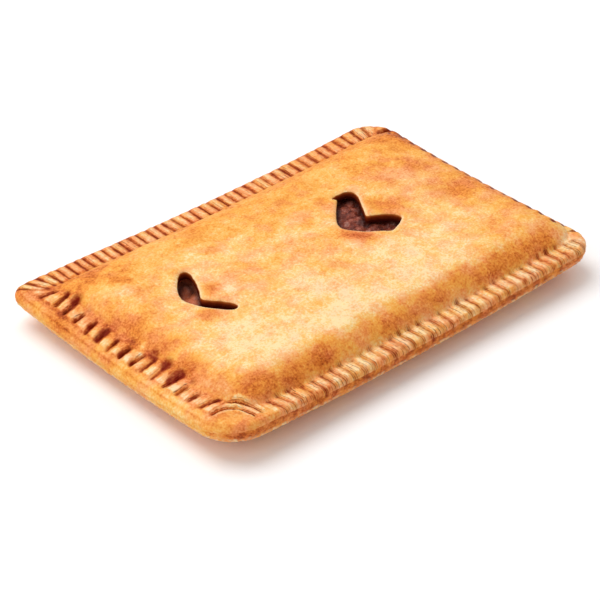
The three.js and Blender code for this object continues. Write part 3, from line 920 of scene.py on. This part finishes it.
print("shaping the filling")
fillingEdge = room["inset"] + room["gap"] + room["shoulder"]
filling = makeRoom(
    "filling_mass",
    room["gap"],
    fillingRelief,
    patchLines(halfLength - fillingEdge, stew["fineX"]),
    patchLines(halfWidth - fillingEdge, stew["fineY"]),
)
roundFaces(filling)
fillingX, fillingY = unpushed(*readRows(filling.data.vertices, "co").T[:2] / mm)
fromEdge = ventDistance(fillingX, fillingY) / stew["marginShadeWidth"]
giveMark(filling, "tomato", stew["tomato"] * (fillingX < 0))
# painted shade: the filling darker along the vents' edges
giveMark(filling, "marginShade", stew["marginShade"] * np.exp(-(fromEdge**2)))


def linearColour(text):
    # an sRGB hex colour turned to linear light
    shares = [int(text[k : k + 2], 16) / 255 for k in (1, 3, 5)]
    return [s / 12.92 if s <= 0.04045 else ((s + 0.055) / 1.055) ** 2.4 for s in shares] + [1.0]


def addNode(tree, kind, inputs=(), stops=(), **settings):
    # Adds a shader node with its settings. Its inputs are given in order or by name, each one a value, a hex
    # colour or the node that feeds it, and a ramp's stops are pairs of a place and a hex colour.
    node = tree.nodes.new(f"ShaderNode{kind}")
    for k, (place, colour) in enumerate(stops):
        elements = node.color_ramp.elements
        stop = elements[k] if k < len(elements) else elements.new(place)
        stop.position = place
        stop.color = linearColour(colour)
    for key, value in settings.items():
        setattr(node, key, value)
    if isinstance(inputs, dict):
        pairs = [(node.inputs[key], value) for key, value in inputs.items()]
    else:
        pairs = list(zip([socket for socket in node.inputs if socket.enabled], inputs))
    for socket, value in pairs:
        if isinstance(value, bpy.types.Node):
            value = next(output for output in value.outputs if output.enabled)
        if isinstance(value, bpy.types.NodeSocket):
            tree.links.new(value, socket)
        else:
            socket.default_value = linearColour(value) if isinstance(value, str) else value
    return node


def newMaterial(name):
    # an empty material, and the function that adds nodes to it
    material = bpy.data.materials.new(name)
    material.use_nodes = True
    material.node_tree.nodes.clear()
    return material, partial(addNode, material.node_tree)


# The crust's colours: ramps from pale to dark where it is golden and where it is redder, one down the
# walls of the vents, darker with depth from stains and painted shade, and the tints that go over them
crustColours = {
    "golden": (
        (0.0, "#FADCA6"), (0.2, "#F5C272"), (0.4, "#F2A94C"), (0.6, "#E68A38"), (0.8, "#C66422"),
        (1.0, "#863810"),
    ),
    "peach": ((0.0, "#FAD4A6"), (0.25, "#F5B278"), (0.5, "#EC9052"), (0.75, "#C8602C"), (1.0, "#823010")),
    # cut: down a vent's wall, darker with depth, partly stains and partly painted shade
    "cut": ((0.0, "#F0A458"), (0.08, "#C8642A"), (0.24, "#84300E"), (0.55, "#480E06")),
    # line: the dark line in the grooves, partly the fork's marks and partly painted shade in the creases
    "line": "#842A04",
    "burnt": "#7C1600",
    "flour": "#F0CE9C",
    # lip: a pale cream, mostly a painted highlight along the vents' edges
    "lip": "#FCE6BC",
}

# Its grains, with their size in mm, detail, roughness and how much they change its tone. Freckles are
# near 0.3 mm on the real one, and larger here so that they show.
crustGrains = {
    "blotch": (12.0, 2.0, 0.5, 0.28),
    "patch": (4.0, 3.0, 0.6, 0.46),
    "blister": (1.5, 2.0, 0.6, 0.38),
    "freckle": (0.75, 2.0, 0.7, 0.6),
}


def bakedDough():
    # Wheat dough brushed with egg and baked: golden and satin where it rose, orange to brown on its
    # slopes with small blisters and freckles, burnt red-brown in the pinches, floury on its lower edge.
    material, add = newMaterial("baked_dough")
    place = add("TexCoord").outputs["Object"]
    names = "bake rosy burnt phase crimp core line double pair lip below ventWall flour alongX"
    marks = {name: add("Attribute", attribute_name=name).outputs["Fac"] for name in names.split()}

    # browned unevenly, with patches, blisters of the dough and freckles
    tone = marks["bake"]
    grains = {}
    for name, (size, detail, roughness, amount) in crustGrains.items():
        inputs = {"Vector": place, "Scale": 1 / (size * mm), "Detail": detail, "Roughness": roughness}
        grains[name] = add("TexNoise", inputs)
        centred = add("Math", [grains[name], 0.5], operation="SUBTRACT")
        tone = add("Math", [centred, amount, tone], operation="MULTIPLY_ADD")
    patch, blister, freckle = (grains[name] for name in ("patch", "blister", "freckle"))

    # hairlines that the fork's tines drew across the rim, 0.7 mm apart and 7 mm long
    hairs = []
    for scale in ((7.0, 0.7, 7.0), (0.7, 7.0, 7.0)):
        stretched = add("Mapping", {"Vector": place, "Scale": [1 / (size * mm) for size in scale]})
        hairs.append(add("TexNoise", {"Vector": stretched, "Scale": 1.0, "Detail": 1.0}))
    hair = add("Mix", [marks["alongX"], *hairs], data_type="FLOAT")
    crimped = add("Math", [marks["crimp"], 0.5], operation="MULTIPLY")
    centred = add("Math", [0.5, hair], operation="SUBTRACT")
    streak = add("Math", [centred, crimped], operation="MULTIPLY")
    tone = add("Math", [streak, tone], operation="ADD")

    # golden, and redder in soft patches 6 mm across
    golden = add("ValToRGB", {"Fac": tone}, crustColours["golden"])
    peach = add("ValToRGB", {"Fac": tone}, crustColours["peach"])
    hue = add("TexNoise", {"Vector": place, "Scale": 1 / (6 * mm), "Detail": 2.0, "Roughness": 0.5})
    rosy = add("MapRange", [hue, 0.42, 0.64, 0.0, 0.8])
    rosy = add("Math", [rosy, marks["rosy"]], operation="ADD", use_clamp=True)
    colour = add("Mix", [rosy, golden, peach], data_type="RGBA")

    # The dark line down each groove, and a thin one on both sides of it: partly the fork's marks, about
    # 0.2 mm wide and drawn a little wider so that they show, and partly painted shade in the creases.
    wobble = add("Math", [blister, 0.5], operation="SUBTRACT")
    phase = add("Math", [wobble, 0.16, marks["phase"]], operation="MULTIPLY_ADD")
    away = add("Math", [phase, 0.5], operation="PINGPONG")
    ratio = add("Math", [away, marks["line"]], operation="DIVIDE")
    soft = {"interpolation_type": "SMOOTHSTEP"}
    core = add("MapRange", [ratio, 0.35, 1.1, 1.0, 0.0], **soft)
    core = add("Math", [core, marks["core"]], operation="MULTIPLY")
    broken = add("MapRange", [patch, 0.4, 0.6, 0.5, 1.2])
    core = add("Math", [core, broken], operation="MULTIPLY")
    thin = []
    for times, first, last in ((1.0, 0.1, 1.0), (1.9, 1.0, 0.0)):
        far = add("Math", [marks["pair"], -times, away], operation="MULTIPLY_ADD")
        far = add("Math", [far], operation="ABSOLUTE")
        close = add("MapRange", [far, 0.01, 0.05, 1.0, 0.0], **soft)
        broken = add("MapRange", [patch, 0.42, 0.58, first, last])
        thin.append(add("Math", [close, broken], operation="MULTIPLY"))
    thin = add("Math", thin, operation="ADD")
    thin = add("Math", [thin, marks["double"]], operation="MULTIPLY")
    lines = add("Math", [core, thin], operation="MAXIMUM")
    lines = add("Math", [lines, marks["crimp"]], operation="MULTIPLY", use_clamp=True)

    # burnt spots, flour and pale flakes on the lower edge, the pale lip, mostly painted highlight, vent
    # walls
    patchy = add("MapRange", [blister, 0.3, 0.6, 0.7, 1.0])
    burnt = add("Math", [marks["burnt"], patchy], operation="MULTIPLY", use_clamp=True)
    flakes = add("MapRange", [blister, 0.48, 0.6, 0.1, 0.9])
    flour = add("Math", [marks["flour"], flakes], operation="MULTIPLY", use_clamp=True)
    lip = add("Math", [marks["lip"], 0.7], operation="MULTIPLY")
    for name, share in {"line": lines, "burnt": burnt, "flour": flour, "lip": lip}.items():
        colour = add("Mix", [share, colour, crustColours[name]], data_type="RGBA")
    # the vent's wall darkens with depth: partly stained by the filling, partly painted shade deep in the cut
    cut = add("ValToRGB", {"Fac": marks["below"]}, crustColours["cut"])
    colour = add("Mix", [marks["ventWall"], colour, cut], data_type="RGBA")

    height = add("Math", [patch, 0.3], operation="MULTIPLY")
    for grain, amount in ((blister, 0.5), (freckle, 0.35), (streak, -1.0), (lines, -0.6)):
        height = add("Math", [grain, amount, height], operation="MULTIPLY_ADD")
    relief = add("Bump", {"Strength": 0.8, "Distance": 0.4 * mm, "Height": height})
    satin = add("MapRange", [blister, 0.3, 0.7, 0.4, 0.62])
    inputs = {"Base Color": colour, "Roughness": satin, "Normal": relief, "IOR": 1.45}
    inputs |= {"Specular IOR Level": 0.08, "Coat Weight": 0.02, "Coat Roughness": 0.3}
    inputs |= {"Subsurface Weight": 0.15, "Subsurface Radius": (1.0, 0.4, 0.2), "Subsurface Scale": 1.5 * mm}
    shader = add("BsdfPrincipled", inputs)
    add("OutputMaterial", {"Surface": shader})
    return material


# The filling's colours: ramps over its lumps and its shreds, its tomato and the painted shade of its margin
fillingColours = {
    "mass": ((0.3, "#2E0404"), (0.46, "#74240E"), (0.6, "#A84C32"), (0.76, "#D8A090")),
    "streaks": ((0.46, "#2A0606"), (0.66, "#B87E6C")),
    "tomato": "#F08458",
    "marginShade": "#300602",
}


def stewedFilling():
    # Tuna stewed with onion and tomato: a moist dark mass with paler shreds, glossy where it is wet,
    # redder with tomato towards the left, and with shade painted dark along the vents' edges.
    material, add = newMaterial("stewed_filling")
    place = add("TexCoord").outputs["Object"]
    lumps = add("TexNoise", {"Vector": place, "Scale": 1 / (2.6 * mm), "Detail": 3.0})
    inputs = {"Vector": place, "Scale": 1 / (0.9 * mm), "Detail": 2.0, "Distortion": 1.5}
    shreds = add("TexNoise", inputs)
    tomato = add("Attribute", attribute_name="tomato").outputs["Fac"]
    marginShade = add("Attribute", attribute_name="marginShade").outputs["Fac"]
    mass = add("ValToRGB", {"Fac": lumps}, fillingColours["mass"])
    mass = add("Mix", [tomato, mass, fillingColours["tomato"]], data_type="RGBA")
    streaks = add("ValToRGB", {"Fac": shreds}, fillingColours["streaks"])
    colour = add("Mix", [0.3, mass, streaks], data_type="RGBA")
    colour = add("Mix", [marginShade, colour, fillingColours["marginShade"]], data_type="RGBA")
    relief = add("Bump", {"Strength": 0.8, "Distance": 0.4 * mm, "Height": shreds})
    inputs = {"Base Color": colour, "Roughness": 0.3, "Specular IOR Level": 0.22, "Normal": relief}
    shader = add("BsdfPrincipled", inputs)
    add("OutputMaterial", {"Surface": shader})
    return material


print("finishing the materials")
for piece, material in ((crust, bakedDough()), (filling, stewedFilling())):
    piece.data.materials.clear()
    piece.data.materials.append(material)
    piece.data.polygons.foreach_set("material_index", np.zeros(len(piece.data.polygons), np.int32))

for piece, node in ((crust, "crust"), (filling, "filling")):
    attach(piece, "root")
    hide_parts(node)


def whiteFloor():
    # matt white paper, so that only the shadows show on it
    material, add = newMaterial("white_paper")
    shader = add("BsdfPrincipled", {"Base Color": "#FFFFFF", "Roughness": 0.9})
    add("OutputMaterial", {"Surface": shader})
    return material


print("lighting")
floorReach = 3000
floorCorners = [(x * floorReach, y * floorReach, 0) for x, y in ((-1, -1), (1, -1), (1, 1), (-1, 1))]
floor = makeMesh("floor", floorCorners, [(0, 1, 2, 3)])
floor.data.materials.append(whiteFloor())

world = bpy.data.worlds.new("studio")
bpy.context.scene.world = world
world.use_nodes = True
world.node_tree.nodes["Background"].inputs["Color"].default_value = linearColour("#FFFFFF")
world.node_tree.nodes["Background"].inputs["Strength"].default_value = 0.5


def placeAt(item, place, back):
    # puts a camera or light at a place in metres, looking against the back direction, upright
    item.matrix_world = Matrix.Translation(place) @ Vector(back).to_track_quat("Z", "Y").to_matrix().to_4x4()
    bpy.context.scene.collection.objects.link(item)


for name, place, size, power in (  # in metres and watts
    ("key", (-0.15, 0.52, 1.2), 1.0, 10.8),
    ("right", (0.9, 0.35, 0.9), 0.8, 2.0),
    ("fill", (-1.1, 0.1, 0.7), 0.9, 3.0),
):
    light = bpy.data.lights.new(name, "AREA")
    light.size = size
    light.energy = power
    placeAt(bpy.data.objects.new(name, light), place, place)

# The camera, fitted to the outline in the picture: its angles, how far it is from what it aims at, and
# how far that lies to the right of and above a point in the middle of the plain rectangle
fitted = {
    "azimuth": -41.409, "elevation": 35.234, "away": 725.35, "right": -2.317, "up": -8.919, "height": 9.0,
}
camera = bpy.data.cameras.new("camera")
camera.lens = 132
camera.sensor_width = 36
azimuth, elevation = math.radians(fitted["azimuth"]), math.radians(fitted["elevation"])
right = np.array([math.cos(azimuth), math.sin(azimuth), 0])
level = math.cos(elevation)
back = np.array([math.sin(azimuth) * level, -math.cos(azimuth) * level, math.sin(elevation)])
aim = fitted["right"] * right + fitted["up"] * np.cross(back, right) - (middleX, middleY, -fitted["height"])
view = bpy.data.objects.new("camera", camera)
placeAt(view, (aim + back * fitted["away"]) * mm, back)
bpy.context.scene.camera = view
bpy.context.scene.view_settings.view_transform = "Standard"
